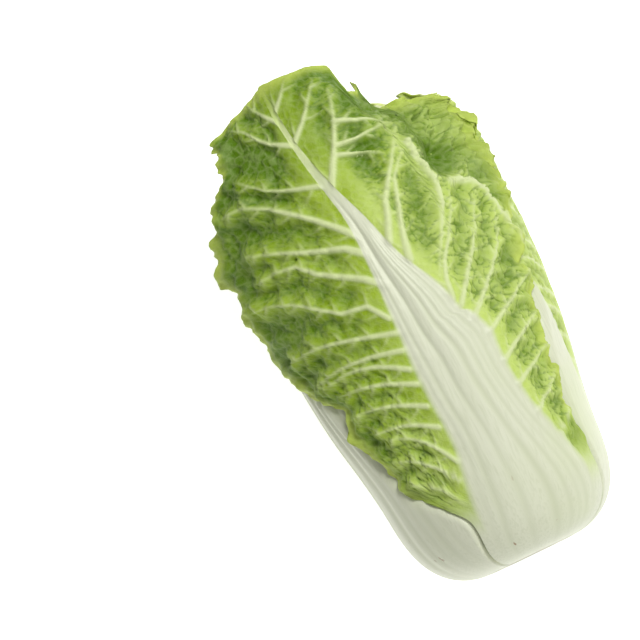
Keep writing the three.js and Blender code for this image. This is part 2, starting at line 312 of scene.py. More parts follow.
# Its strongest veins, and the crest of the fold on its right
FRONT_BOLD_VEINS = [
    [(194, -9), (212, -20), (232, -35), (245, -48), (247, -58)],
    [(186, -11), (193, -16), (201, -29), (212, -44), (220, -56)],
    [(165, -9), (175, -17), (188, -31), (201, -41), (203, -58)],
    [(228, -11.5), (245, -5), (262, 0.5), (281, 4)],
    [(186, -1), (198, 2.5), (210, 5.5), (231, 15.5), (248, 23.5)],
    [(172, 3), (186, 5), (203, 8.5), (222, 13.5), (235, 24)],
    [(235, 24), (228, 25), (216, 26), (204, 27), (191, 24), (174, 17), (157, 11)],
    [(206, 34), (204, 42), (199, 48), (180, 51), (148, 57)],
]
# Deep pockets between them: how far along, how far round, half length, half width and depth
FRONT_POCKETS = [
    (240, -35, 6, 8, 0.6),
    (248, -8, 12, 3.5, 0.8),
    (224, 36, 9, 7, 1.3),
    (241, 4, 10, 7, 0.8),
    (192, 6.8, 16, 1.5, 0.8),
    (270, -24, 9, 7, 0.5),
]


def past_foot(y):
    """0 at the thick feet of the leaves, and 1 where they are thin."""
    return smooth(62, 100, y)


def crinkled_band(y, degrees):
    """1 on the pale crinkled band to the right of the front leaf's fold."""
    return smooth(205, 232, y) * smooth(26, 40, degrees)


def front_bulge(y, degrees, r):
    """How far the front leaf stands off the head: it spreads at its sides and folds over at its tip."""
    spread = 12 * smooth(120, 215, y) * mix(1, 0.5, smooth(235, 320, y))
    left = spread * smooth(-22, -76, degrees)
    right = 3 * smooth(120, 180, y) * smooth(30, 80, degrees)
    own = mix(FRONT_TIP_RADIUS(y), FRONT_FOLD_RADIUS(y), smooth(0, 38, degrees))
    channel = np.exp(-(((y - 212) / 24) ** 2) - ((degrees - 18) / 7) ** 2)
    arch = np.exp(-(((y - 212) / 34) ** 2) - ((degrees - 18) / 15) ** 2)
    return left + right + (own - r) * smooth(205, 225, y) + 3 * arch - 5.5 * channel


def front_pale(y, degrees):
    """How pale the front leaf's blade is: on its right side, and beside the rib's foot."""
    right = (0.85 + 0.15 * crinkled_band(y, degrees)) * smooth(-12, 4, degrees)
    green_tip = 0.8 * smooth(205, 240, y) * smooth(22, 12, degrees)
    return np.maximum(right * (1 - green_tip), 0.5 * smooth(125, 60, y))


def wrapper_reach(y, half, foot_half=48):
    """How many degrees a leaf reaches on either side of its rib."""
    return mix(foot_half, half, smooth(95, 190, y))


UNDER = {"centre": 188, "twist": 6, "half": 82}
# Half the width, in degrees, of the strip where a leaf rises beside its neighbour's edge
RISE = 6.5
FOOT_RISE = 4.2


def under_edge(y, side):
    return UNDER["centre"] + UNDER["twist"] * smooth(60, 280, y) + side * wrapper_reach(y, UNDER["half"])


def rise_beside(edge, outward, y, degrees):
    """0 under a neighbour's edge and 1 clear of it. At the foot of the head the strip is narrower."""
    foot = smooth(78, 42, y)
    past = (degrees - edge) * outward
    return smooth(mix(-RISE, -FOOT_RISE, foot), mix(RISE, FOOT_RISE, foot), past)


def bare_left(y, degrees):
    """1 where the left leaf is covered by no other leaf."""
    front = FRONT_CENTRE(y) - FRONT_LEFT(y)
    return rise_beside(front, -1, y, degrees) * rise_beside(under_edge(y, 1) - 360, 1, y, degrees)


def bare_right(y, degrees):
    """1 where the right leaf is covered by no other leaf."""
    front = FRONT_CENTRE(y) + FRONT_RIGHT(y)
    return rise_beside(front, 1, y, degrees) * rise_beside(under_edge(y, -1), -1, y, degrees)


def covered(y, degrees):
    return np.zeros_like(y)


def uncovered(y, degrees):
    return np.ones_like(y)


# How far round the head the white flank of the right leaf's rib goes, up the head
RIGHT_FLANK = through([(60, 78), (80, 70), (100, 64), (120, 60), (138, 56), (160, 48)])


def right_flank(y, degrees):
    """1 on the white flank of the right leaf's rib, which shows beside the front leaf."""
    edge = RIGHT_FLANK(y)
    return smooth(edge + 1.5, edge - 1.5, degrees) * smooth(150, 140, y)


def head_leaf(
    name, centre, twist, half, tip, petiole_layer, blade_layer, cad_rows, frill, sink, bare=covered,
    flank=covered, ruffle=0.0, pale=0.35, shade=1.0, foot_half=48,
):
    """The shape of a leaf of the closed head."""

    def layer(k):
        return lambda y: mix(petiole_layer[k], blade_layer[k], past_foot(y))

    def top(column):
        return tip - 46 * np.abs(column) ** 2.2 + 5 * np.sin(9 * column + centre)

    rib = through([(0, 47), (40, 42), (110, 24), (170, 12), (230, 4), (300, 1.5)])
    rng = np.random.default_rng(int(centre) % 97 + 3)
    return {
        "name": name,
        "cad_rows": cad_rows,
        "centre": lambda y: centre + twist * smooth(60, 280, y),
        "left": lambda y: wrapper_reach(y, half, foot_half),
        "right": lambda y: wrapper_reach(y, half, foot_half),
        "rib": rib,
        "top": top,
        "layer_from": layer(0),
        "layer_to": layer(1),
        "bulge": lambda y, degrees, r: np.zeros_like(y),
        "bare": bare,
        "rise": 0.7,
        "rib_rise": 0.8,
        "jag": 2.2,
        "blade_from": (60, 100),
        "green_from": (66, 96),
        "groove_depth": 2,
        "is_front": 0,
        "frill": frill,
        "sink": sink,
        "pale": lambda y, degrees: pale + 0.3 * smooth(170, 90, y),
        "flank": flank,
        "shade": shade,
        "veins": regular_veins(rib, half, rng),
        "bold_veins": [],
        "pockets": [],
        "veins_from_rib": True,
        "seed": int(centre) % 89,
        "proud": 0,
        "ruffle": ruffle,
    }


FRONT = {
    "name": "front_leaf",
    "cad_rows": 34,
    "centre": FRONT_CENTRE,
    "left": FRONT_LEFT,
    "right": FRONT_RIGHT,
    "rib": FRONT_RIB,
    "top": FRONT_TOP,
    "layer_from": lambda y: np.zeros_like(y),
    "layer_to": lambda y: mix(0.205, 0.14, past_foot(y)),
    "bulge": front_bulge,
    "bare": uncovered,
    "flank": covered,
    "shade": 1,
    "rise": 0.8,
    "rib_rise": 0.6,
    "jag": 2.2,
    "blade_from": (28, 62),
    "green_from": (16, 46),
    "groove_depth": 1.1,
    "is_front": 1,
    "frill": 3,
    "sink": 5.2,
    "pale": front_pale,
    "veins": FRONT_VEINS,
    "bold_veins": FRONT_BOLD_VEINS,
    "pockets": FRONT_POCKETS,
    "veins_from_rib": False,
    "seed": 5,
    "proud": 1.6,
    "ruffle": 3.6,
}


# Long grooves of a rib, as shares of its half width: where each lies, its half width and its depth
RIB_GROOVES = [
    (-0.82, 0.05, 0.6), (-0.64, 0.06, 1), (-0.3, 0.06, 0.7), (0.1, 0.07, 0.9), (0.34, 0.05, 0.8),
    (0.5, 0.04, 0.6), (0.65, 0.06, 1), (0.82, 0.05, 0.8),
]


def sheet_places(shape, rows, columns):
    """Where each point of a leaf lies: along the head, round it, and between its rib and its margin."""
    plain, column = np.meshgrid(np.linspace(0, 1, rows + 1), np.linspace(-1, 1, columns + 1), indexing="ij")
    row = plain * shape["cad_rows"]
    side = np.where(column < 0, -1, 1)
    off = np.abs(column)
    tip_y = shape["top"](column)
    # Rows rise from the rib towards the margins, as the side veins do
    step = plain + shape["rise"] * off * clamp(plain - BASE_SHARE, 0, 1) * (1 - plain)
    y = layer_point(0, step, tip_y)[0]
    reach = np.where(side < 0, shape["left"](y), shape["right"](y))
    torn_step = 2.6 * smooth(136, 133.5, y) * smooth(105, 131, y) * (side > 0)
    rib = shape["rib"](y) + torn_step * shape["is_front"]
    rib_column = clamp(rib / reach, 0.06, 0.6)
    blade_v = mix(rib_column, 1, (off - RIB_COLUMNS) / (1 - RIB_COLUMNS))
    v = np.where(off < RIB_COLUMNS, off / RIB_COLUMNS * rib_column, blade_v)
    margin = smooth(0.85, 1, v) * smooth(35, 75, y)
    fringe = 0.5 * np.sin(6.1 * row + 2 * side) + 1.1 * bumps(y, 40 * side, 6, shape["seed"] + 6)
    offset = v * reach + margin * (shape["jag"] * np.sin(2.2 * row + side) + fringe)
    # The torn corner of the front leaf's top leans over the notch beside it
    corner = 5 * np.exp(-(((column - 0.525) / 0.03) ** 2)) * smooth(0.94, 1, plain)
    offset = offset + corner * shape["is_front"]
    degrees = shape["centre"](y) + side * offset
    on_rib = side * offset / np.maximum(rib, 1.2)
    return SimpleNamespace(
        plain=plain,
        row=row,
        side=side,
        step=step,
        tip_y=tip_y,
        y=y,
        degrees=degrees,
        across=np.radians(side * offset if shape["veins_from_rib"] else degrees) * SHEET_RADIUS,
        v=v,
        past_rib=v - rib_column,
        margin=margin,
        rib=rib,
        on_rib=on_rib,
        thick=clamp(1 - on_rib**2, 0, 1) ** 0.6,
        band=crinkled_band(y, degrees),
    )


def rib_relief(shape, at, turn):
    """How far the rib's surface is sunk, and where its long grooves run."""
    body = at.thick * turn
    sway = 0.05 * np.sin(0.03 * at.y)
    lines = np.zeros_like(at.y)
    for middle, wide, deep in RIB_GROOVES:
        lines += np.exp(-(((at.on_rib - middle - sway) / wide) ** 2)) * deep
    lines = lines * body * smooth(225, 150, at.y)
    grooves = shape["groove_depth"] * lines * mix(0.4, 1, smooth(50, 150, at.y)) * clamp(at.rib / 20, 0.15, 1)
    fibres = body * (0.5 + 0.5 * bumps(at.y * 0.1, at.across, 3.2, shape["seed"]))
    crown = 1.2 * body * (1 - at.on_rib**2) * smooth(20, 70, at.y) * smooth(240, 170, at.y)
    flute = np.exp(-(((at.on_rib + 0.38) / 0.24) ** 2)) * smooth(45, 110, at.y) * smooth(235, 180, at.y)
    return grooves + 0.22 * fibres + shape["is_front"] * (1.4 * body * flute - crown), lines


def vein_relief(shape, at):
    """How high the veins stand, then for the large and the small ones 0 on them and 1 well clear of them."""
    rng = np.random.default_rng(shape["seed"])
    main = sheet_lines(shape["veins"])
    bold = sheet_lines(shape["bold_veins"])
    twigs = [twig for line in main + bold for twig in branches(line, 9, 12, rng)]
    main_height, main_distance = ridges(at.y, at.across, main, 1.8, 1)
    bold_height, bold_distance = ridges(at.y, at.across, bold, 2.4, 1.5)
    twig_height, twig_distance = ridges(at.y, at.across, twigs, 1.4, 0.9)
    bold_height = bold_height * mix(1, 1.4, smooth(0.3, 1, bold_height))
    crest = np.maximum(np.maximum(main_height, bold_height), 0.55 * twig_height)
    large = 1 - np.exp(-((np.minimum(main_distance, bold_distance) / 5.5) ** 2))
    small = 1 - np.exp(-((twig_distance / 3.5) ** 2))
    return crest, large, small


def pocket_depth(shape, at, crest):
    """Depth of the leaf's deep pockets, which stop at its veins."""
    depth = np.zeros_like(at.y)
    for middle, turned, long, wide, deep in shape["pockets"]:
        depth += np.exp(-(((at.y - middle) / long) ** 2) - (((at.degrees - turned) / wide) ** 2)) * deep
    return depth * (1 - smooth(0.2, 0.8, crest))


def wrinkle_lines(shape, at):
    """How deep the blade is creased. Between the rib and the fold more creases run across it."""
    seed = shape["seed"]
    lines = wrinkles(1.3 * at.y, 0.8 * at.across, 9, seed + 7) + wrinkles(at.y, at.across, 5.5, seed + 8)
    fold = smooth(175, 200, at.y) * smooth(-16, -6, at.degrees) * smooth(24, 12, at.degrees)
    lines = lines + wrinkles(2 * at.y, 0.6 * at.across, 8, seed + 9) * fold
    return lines * mix(0.35, 1, clamp(shape["pale"](at.y, at.degrees), 0, 1))


def waved_edges(shape, at, loose_blade):
    """How far the frilled margin and the ruffles of the blade stand off the head."""
    frill = at.margin * shape["frill"] * (0.5 + 0.5 * np.sin(1.5 * at.row))
    curl = at.margin * 0.35 * shape["frill"] * np.sin(5.3 * at.row + at.side)
    seed = shape["seed"]
    ruffles = bumps(at.y, at.across, 14, seed + 4) + 0.7 * bumps(at.y, at.across, 6, seed + 5)
    loose = mix(0.2, 1, smooth(0.45, 1, at.v)) + 1.2 * smooth(205, 245, at.y) * smooth(0, 25, at.degrees)
    ruffles = loose * (0.5 + ruffles) + 0.8 * at.band * bumps(at.y, at.across, 4.5, 11)
    return frill + np.minimum(curl, 0) + shape["ruffle"] * loose_blade * ruffles


def leaf_sheet(shape, rows, columns):
    """A leaf's outer and inner faces as grids of points, and what its colours depend on."""
    at = sheet_places(shape, rows, columns)
    y, degrees, v = at.y, at.degrees, at.v
    bare = shape["bare"](y, degrees)
    raised = shape["layer_from"](y) * bare
    out_y, out_r, turn = layer_point(shape["layer_from"](y) - raised, at.step, at.tip_y)
    back_y, back_r, _ = layer_point(shape["layer_to"](y) - raised * past_foot(y), at.step, at.tip_y)
    flank = shape["flank"](y, degrees)
    blade = (1 - at.thick) * smooth(*shape["blade_from"], y) * (1 - flank)

    along_rib, lines = rib_relief(shape, at, turn)
    crest, large, small = vein_relief(shape, at)
    deep = pocket_depth(shape, at, crest)
    open_blade = smooth(0.02, 0.2, at.past_rib)
    wrinkled = open_blade * wrinkle_lines(shape, at)
    net = cells(y, at.across, 4.6, shape["seed"])
    lumps = bumps(y, at.across, 11, shape["seed"] + 2)
    hollow = open_blade * (large * (0.62 + 0.3 * lumps) * (1 - 0.5 * at.band) + deep + 0.3 * small)
    bulge = shape["bulge"](y, degrees, out_r)
    room = 1 + 0.07 * np.maximum(bulge, 0) * smooth(0.98, 0.7, v) * smooth(255, 230, y)
    creased = 1.4 * wrinkled - shape["proud"] * crest - 0.25 * net * (1 - crest)
    relief = shape["sink"] * hollow * 0.85 * room + creased
    sunk = blade * np.maximum(relief, -shape["proud"]) * (1 - 0.45 * smooth(0.8, 1, v))

    waved = crinkle(y, degrees) + bulge + waved_edges(shape, at, bare * blade)
    outer_r = out_r - along_rib - sunk - blade * shape["rib_rise"] + waved
    thin = np.minimum(outer_r - mix(EDGE_THICKNESS, BLADE_THICKNESS, blade), out_r + waved - 1)
    # Round the stem end the leaf is as thick as its layer, and thinner at its edges
    full = mix(0.25, 1, at.thick)
    inner_r = mix(mix(out_r, back_r, full), mix(thin, back_r + waved, turn * at.thick), turn)

    rib_flesh = smooth(0.02, 0.5, at.thick)
    tapering = smooth(212, 266, y)
    # The front leaf is coloured darker towards its tip, outside the crinkled band
    darker_tip = 0.35 * shape["is_front"] * smooth(228, 256, y) * (1 - at.band)
    # Painted shade: the blade is coloured darker in its hollows and pockets and along its creases
    shaded = clamp(clamp(hollow, 0, 1) ** 1.3 + 0.9 * wrinkled + darker_tip, 0, 1)
    rim = np.maximum(smooth(mix(0.88, 0.76, at.band), 1, v), smooth(mix(0.965, 0.9, at.band), 1, at.plain))
    masks = {
        "rib": np.maximum(np.maximum(rib_flesh * (1 - tapering), flank), 1 - smooth(*shape["green_from"], y)),
        "vein": np.maximum(smooth(0.1, 0.8, crest) * blade, rib_flesh * tapering * smooth(302, 262, y)),
        "net": net,
        # Painted shade, on the blade only
        "hollow": shaded * blade * shape["shade"],
        "edge": rim * smooth(35, 75, y),
        # Where the rib's long grooves run; the rib colour paints shade along them
        "groove": clamp(lines, 0, 1),
        "along": y / FULL_LENGTH,
        "round": degrees / 180,
        # Painted shade: the blade is less pale in its deep pockets
        "pale": shape["pale"](y, degrees) * (1 - clamp(deep, 0, 0.9)),
    }
    outer = place(out_y, outer_r, degrees, 0)
    inner = place(mix(out_y, back_y, full), inner_r, degrees, BLADE_THICKNESS)
    return outer, inner, masks


def rim_of(rows, columns, across):
    """Grid places round the rim of a sheet, in turn."""
    ring = list(range(columns))
    ring += [i * across + columns for i in range(rows)]
    ring += [rows * across + j for j in range(columns, 0, -1)]
    return ring + [i * across for i in range(rows, 0, -1)]


def quads(rows, columns, start, turned):
    """Faces of a grid of points, numbered from start."""
    across = columns + 1
    a = (np.arange(rows)[:, None] * across + np.arange(columns)).ravel() + start
    order = [a, a + across, a + across + 1, a + 1]
    return np.stack(order if turned else order[::-1], axis=-1).tolist()


def shell_faces(rows, columns, start=0):
    """Faces of a closed shell: a fine outer sheet, a half as fine inner one, and the rim between them."""
    inner_start = start + (rows + 1) * (columns + 1)
    faces = quads(rows, columns, start, False)
    faces += quads(rows // 2, columns // 2, inner_start, True)
    outer = rim_of(rows, columns, columns + 1)
    inner = rim_of(rows // 2, columns // 2, columns // 2 + 1)
    for k, low in enumerate(inner):
        a, b, c = (start + outer[(2 * k + n) % len(outer)] for n in range(3))
        d, e = inner_start + low, inner_start + inner[(k + 1) % len(inner)]
        faces += [(b, a, d), (c, b, e), (b, d, e)]
    return faces


def shell_points(outer, inner, masks):
    """The points of a closed shell and their masks, outer sheet first."""
    points = np.concatenate([outer.reshape(-1, 3), inner[::2, ::2].reshape(-1, 3)])
    return points, {name: np.concatenate([m.ravel(), m[::2, ::2].ravel()]) for name, m in masks.items()}


def new_piece(name, points, faces, masks, material):
    """A smooth piece with its masks as attributes, which rides the head."""
    mesh = bpy.data.meshes.new(name)
    mesh.from_pydata(points.tolist(), [], faces)
    mesh.polygons.foreach_set("use_smooth", [True] * len(faces))
    for mask, values in masks.items():
        attribute = mesh.attributes.new(mask, "FLOAT", "POINT")
        attribute.data.foreach_set("value", values.astype(np.float32))
    mesh.materials.append(material)
    piece = bpy.data.objects.new(name, mesh)
    bpy.context.collection.objects.link(piece)
    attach(piece, "root")
    return piece


def leaf_piece(shape, node, rows, columns, material):
    points, masks = shell_points(*leaf_sheet(shape, rows, columns))
    piece = new_piece(shape["name"], points, shell_faces(rows, columns), masks, material)
    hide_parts(node)


# Materials

def linear(red, green, blue):
    """A colour as seen on a screen, 0 to 255, as the shader takes it."""
    parts = np.array([red, green, blue]) / 255
    return (*np.where(parts <= 0.04045, parts / 12.92, ((parts + 0.055) / 1.055) ** 2.4), 1)


class Nodes:
    """Adds linked nodes to one node tree."""

    def __init__(self, tree):
        self.tree = tree

    def add(self, kind, inputs=None, **settings):
        node = self.tree.nodes.new(kind)
        for name, value in settings.items():
            setattr(node, name, value)
        for name, value in (inputs or {}).items():
            socket = node.inputs[name]
            if isinstance(value, bpy.types.NodeSocket):
                self.tree.links.new(value, socket)
            else:
                socket.default_value = value
        return node

    def calculate(self, operation, a, b=0.0, clamped=False):
        return self.add("ShaderNodeMath", {0: a, 1: b}, operation=operation, use_clamp=clamped).outputs[0]

    def between(self, value, low, high, start=0.0, end=1.0):
        return self.add(
            "ShaderNodeMapRange",
            {"Value": value, "From Min": low, "From Max": high, "To Min": start, "To Max": end},
            interpolation_type="SMOOTHSTEP",
        ).outputs["Result"]

    def blend(self, factor, a, b):
        node = self.add("ShaderNodeMix", {0: factor, 6: a, 7: b}, data_type="RGBA")
        return node.outputs[2]

    def attribute(self, name):
        return self.add("ShaderNodeAttribute", attribute_name=name).outputs["Fac"]

    def grain(self, scale, stretch=(1, 1, 1), detail=3.0):
        """Noise over the piece itself, stretched along one axis where asked."""
        where = self.add("ShaderNodeTexCoord").outputs["Object"]
        mapped = self.add("ShaderNodeMapping", {"Vector": where, "Scale": stretch}).outputs["Vector"]
        cloud = self.add("ShaderNodeTexNoise", {"Vector": mapped, "Scale": scale, "Detail": detail})
        return cloud.outputs["Fac"]

    def fine_net(self, scale):
        """1 on the borders of small cells over the piece."""
        where = self.add("ShaderNodeTexCoord").outputs["Object"]
        cloud = self.add("ShaderNodeTexNoise", {"Vector": where, "Scale": scale * 0.6, "Detail": 2.0})
        wobble = cloud.outputs["Color"]
        bent = self.add("ShaderNodeMix", {0: 0.006, 4: where, 5: wobble}, data_type="VECTOR").outputs[1]
        small = self.add("ShaderNodeTexVoronoi", {"Vector": bent, "Scale": scale}, feature="DISTANCE_TO_EDGE")
        return self.between(small.outputs["Distance"], 0.0, 0.13, 1.0, 0.0)


def group(name, inputs, outputs):
    """An empty node group with these (name, kind) sockets."""
    tree = bpy.data.node_groups.new(name, "ShaderNodeTree")
    for socket, kind in inputs:
        tree.interface.new_socket(socket, in_out="INPUT", socket_type=kind)
    for socket, kind in outputs:
        tree.interface.new_socket(socket, in_out="OUTPUT", socket_type=kind)
    nodes = Nodes(tree)
    return tree, nodes, nodes.add("NodeGroupInput").outputs


FLOAT = "NodeSocketFloat"
COLOUR = "NodeSocketColor"


def rib_group():
    """White rib flesh: soft long fibres, a faint green tint and painted shade along its long grooves, and
    small brown scratches near the cut end.
    """
    tree, nodes, given = group(
        "Rib flesh",
        [
            ("White", COLOUR), ("Shade", COLOUR), ("Tint", COLOUR), ("Green", FLOAT), ("Along", FLOAT),
            ("Groove", FLOAT),
        ],
        [("Colour", COLOUR), ("Height", FLOAT)],
    )
    fibres = nodes.grain(900, (1, 0.02, 1), 4.0)
    # Darker streaks: the fibres' own, and a faint green tint and painted shade along the rib's grooves
    fibre_streaks_and_groove_shade = nodes.calculate("MAXIMUM", nodes.between(fibres, 0.42, 0.7, 0.0, 0.5), given["Groove"])
    soft = nodes.between(nodes.grain(22), 0.35, 0.7)
    colour = nodes.blend(nodes.calculate("MULTIPLY", fibre_streaks_and_groove_shade, 0.45), given["White"], given["Shade"])
    colour = nodes.blend(nodes.calculate("MULTIPLY", given["Green"], soft, True), colour, given["Tint"])
    scratch = nodes.between(nodes.grain(170, (1, 0.12, 1), 2.0), 0.725, 0.745)
    base = nodes.between(given["Along"], 0.02, 0.2, 1.0, 0.0)
    brown = nodes.calculate("MULTIPLY", scratch, base)
    colour = nodes.blend(nodes.calculate("MULTIPLY", brown, 0.7), colour, linear(150, 112, 66))
    nodes.add("NodeGroupOutput", {"Colour": colour, "Height": nodes.calculate("MULTIPLY", fibres, 0.5)})
    return tree


def blade_group():
    """Green blade: painted shade in its hollows and creases, with a pale net, pale veins and a fresh rim."""
    tree, nodes, given = group(
        "Leaf blade",
        [
            ("Blade", COLOUR), ("Pale Blade", COLOUR), ("Hollow Shade", COLOUR), ("Vein Colour", COLOUR),
            ("Rim", COLOUR), ("Pale", FLOAT), ("Hollow", FLOAT), ("Vein", FLOAT), ("Net", FLOAT),
            ("Edge", FLOAT),
        ],
        [("Colour", COLOUR), ("Height", FLOAT)],
    )
    patches = nodes.between(nodes.grain(38, detail=4.0), 0.3, 0.7)
    pale = nodes.calculate("ADD", given["Pale"], nodes.calculate("MULTIPLY", patches, 0.25), True)
    colour = nodes.blend(pale, given["Blade"], given["Pale Blade"])
    # Painted shade: the Hollow mask blends the blade towards its darker shaded green, a little less where it
    # is pale
    deep = nodes.calculate("MULTIPLY", given["Hollow"], nodes.between(given["Pale"], 0.0, 1.0, 0.95, 0.8))
    colour = nodes.blend(deep, colour, given["Hollow Shade"])
    fine = nodes.fine_net(420)
    colour = nodes.blend(nodes.calculate("MULTIPLY", fine, 0.05), colour, given["Vein Colour"])
    colour = nodes.blend(nodes.calculate("MULTIPLY", given["Net"], 0.14), colour, given["Vein Colour"])
    colour = nodes.blend(nodes.calculate("MULTIPLY", given["Edge"], 0.8), colour, given["Rim"])
    colour = nodes.blend(given["Vein"], colour, given["Vein Colour"])
    nodes.add("NodeGroupOutput", {"Colour": colour, "Height": nodes.calculate("MULTIPLY", fine, 0.6)})
    return tree


RIB_GROUP = rib_group()
BLADE_GROUP = blade_group()


def leaf_material(name, colours):
    """A leaf: white rib flesh that passes into a green blade."""
    material = bpy.data.materials.new(name)
    material.use_nodes = True
    nodes = Nodes(material.node_tree)
    rib = nodes.add("ShaderNodeGroup", node_tree=RIB_GROUP)
    blade = nodes.add("ShaderNodeGroup", node_tree=BLADE_GROUP)
    for socket in ("White", "Shade", "Tint"):
        rib.inputs[socket].default_value = linear(*colours[socket])
    for socket in ("Blade", "Pale Blade", "Hollow Shade", "Vein Colour", "Rim"):
        blade.inputs[socket].default_value = linear(*colours[socket])
    links = material.node_tree.links
    links.new(nodes.between(nodes.attribute("round"), 0.0, 0.3, 0.08, 0.45), rib.inputs["Green"])
    links.new(nodes.attribute("along"), rib.inputs["Along"])
    links.new(nodes.attribute("groove"), rib.inputs["Groove"])
    for socket in ("Pale", "Hollow", "Vein", "Net", "Edge"):
        links.new(nodes.attribute(socket.lower()), blade.inputs[socket])
    on_rib = nodes.attribute("rib")
    shader = material.node_tree.nodes["Principled BSDF"]
    shader.inputs["Specular IOR Level"].default_value = 0.22
    colour = nodes.blend(on_rib, blade.outputs["Colour"], rib.outputs["Colour"])
    links.new(colour, shader.inputs["Base Color"])
    links.new(nodes.between(on_rib, 0.0, 1.0, 0.5, 0.36), shader.inputs["Roughness"])
    heights = {0: on_rib, 2: blade.outputs["Height"], 3: rib.outputs["Height"]}
    height = nodes.add("ShaderNodeMix", heights).outputs[0]
    bump = nodes.add("ShaderNodeBump", {"Height": height, "Strength": 0.35, "Distance": 0.0006})
    links.new(bump.outputs["Normal"], shader.inputs["Normal"])
    return material


WRAPPER_COLOURS = {
    "White": (224, 227, 202),
    # Darker rib colour: for the fibres' streaks, and painted shade along the grooves
    "Shade": (180, 188, 148),
    "Tint": (212, 222, 176),
    "Blade": (154, 184, 26),
    "Pale Blade": (198, 220, 112),
    # Painted shade: the darker green that the blade's hollows and creases are coloured with
    "Hollow Shade": (84, 122, 2),
    "Vein Colour": (218, 230, 168),
    "Rim": (200, 218, 100),
}
INNER_COLOURS = {
    "White": (240, 240, 226),
    # Darker rib colour: for the fibres' streaks, and painted shade along the grooves
    "Shade": (222, 224, 198),
    "Tint": (228, 232, 190),
    "Blade": (196, 216, 104),
    "Pale Blade": (220, 230, 150),
    # Painted shade: the darker green that the blade's hollows and creases are coloured with
    "Hollow Shade": (132, 170, 40),
    "Vein Colour": (232, 236, 190),
    "Rim": (206, 222, 104),
}
CUT_COLOURS = {
    "White": (226, 224, 208),
    "Shade": (205, 200, 176),
    "Tint": (214, 214, 180),
}


def cut_flesh_material():
    """The cut stem end: grey-white pith, a tan ring of vessels and a pale rim."""
    material = bpy.data.materials.new("Cut stem flesh")
    material.use_nodes = True
    nodes = Nodes(material.node_tree)
    links = material.node_tree.links
    rib = nodes.add("ShaderNodeGroup", node_tree=RIB_GROUP)
    for socket, colour in CUT_COLOURS.items():
        rib.inputs[socket].default_value = linear(*colour)
    rib.inputs["Green"].default_value = 0.2
    rib.inputs["Along"].default_value = 0.1
    out = nodes.attribute("out")
    wobble = nodes.calculate("MULTIPLY", nodes.grain(90), 0.12)
    at = nodes.calculate("ADD", out, wobble)
    ring = nodes.calculate(
        "MULTIPLY", nodes.between(at, 0.72, 0.82), nodes.between(at, 0.86, 0.95, 1.0, 0.0)
    )
    vessels = nodes.between(nodes.grain(260), 0.4, 0.62, 0.35, 1.0)
    tan = nodes.calculate("MULTIPLY", ring, vessels)
    colour = nodes.blend(nodes.calculate("MULTIPLY", tan, 0.75), rib.outputs["Colour"], linear(186, 150, 96))
    dry = nodes.between(nodes.grain(60, detail=6.0), 0.5, 0.75, 0.0, 0.35)
    colour = nodes.blend(dry, colour, linear(196, 184, 152))
    shader = material.node_tree.nodes["Principled BSDF"]
    links.new(colour, shader.inputs["Base Color"])
    links.new(nodes.between(vessels, 0.0, 1.0, 0.5, 0.65), shader.inputs["Roughness"])
    rough = nodes.grain(300, detail=6.0)
    bump = nodes.add("ShaderNodeBump", {"Height": rough, "Strength": 0.4, "Distance": 0.0008})
    links.new(bump.outputs["Normal"], shader.inputs["Normal"])
    return material


WRAPPER = leaf_material("Wrapper leaf", WRAPPER_COLOURS)
INNER = leaf_material("Inner leaf", INNER_COLOURS)
CUT_FLESH = cut_flesh_material()

# The leaves

leaf_piece(FRONT, "leaf_front", rows=340, columns=230, material=WRAPPER)
WRAPPERS = [
    (
        "leaf_under",
        head_leaf(
            "lower_leaf", **UNDER, tip=287, petiole_layer=(0, 0.205), blade_layer=(0, 0.14), cad_rows=22,
            frill=1.5, sink=1.5,
        ),
    ),
    (
        "leaf_left",
        head_leaf(
            "left_leaf", centre=-76, twist=-8, half=92, tip=282, petiole_layer=(0.235, 0.41),
            blade_layer=(0.22, 0.33), cad_rows=22, frill=0.6, sink=1, bare=bare_left, ruffle=1.2,
            foot_half=60,
        ),
    ),
    (
        "leaf_right",
        head_leaf(
            "right_leaf", centre=103, twist=-4, half=92, tip=280, petiole_layer=(0.235, 0.41),
            blade_layer=(0.36, 0.47), cad_rows=22, frill=0.6, sink=1, bare=bare_right,
            flank=right_flank, ruffle=1.8, pale=1.0, shade=0.6, foot_half=60,
        ),
    ),
]
for node, shape in WRAPPERS:
    leaf_piece(shape, node, rows=200, columns=150, material=WRAPPER)

# The next whorl: each leaf's angle, its layer on the rib and on the blade, and where its tip is
INNER_WHORL = [(36, 0.44, 0.5, 279), (-140, 0.62, 0.64, 277), (150, 0.8, 0.78, 274)]
for k, (centre, petiole, blade, tip) in enumerate(INNER_WHORL):
    shape = head_leaf(
        f"whorl_leaf_{k + 1}", centre=centre, twist=10, half=100, tip=tip,
        petiole_layer=(petiole, petiole + 0.15), blade_layer=(blade, blade + 0.11), cad_rows=18,
        frill=0.4, sink=0.8,
    )
    leaf_piece(shape, f"leaf_inner_{k + 1}", rows=140, columns=110, material=INNER)

# The heart: a core, and the crinkled tips of the young leaves that stand out of it
TIP_RINGS = [
    {"radius": 33, "tip": 268, "count": 3, "turn": 20, "half": 52},
    {"radius": 23, "tip": 273, "count": 2, "turn": 75, "half": 72},
    {"radius": 12, "tip": 277, "count": 2, "turn": 150, "half": 76},
]
TIP_ROOT_Y = 205


def flat_masks(y, degrees, rib, vein, edge):
    """Masks of a young leaf or the core."""
    return {
        "rib": rib,
        "vein": vein,
        "net": np.zeros_like(y),
        # Painted shade: darker away from the veins and the rib
        "hollow": 0.3 * (1 - vein) * (1 - rib),
        "edge": edge,
        "groove": np.zeros_like(y),
        "along": y / FULL_LENGTH,
        "round": degrees / 180,
        "pale": np.full_like(y, 0.4),
    }


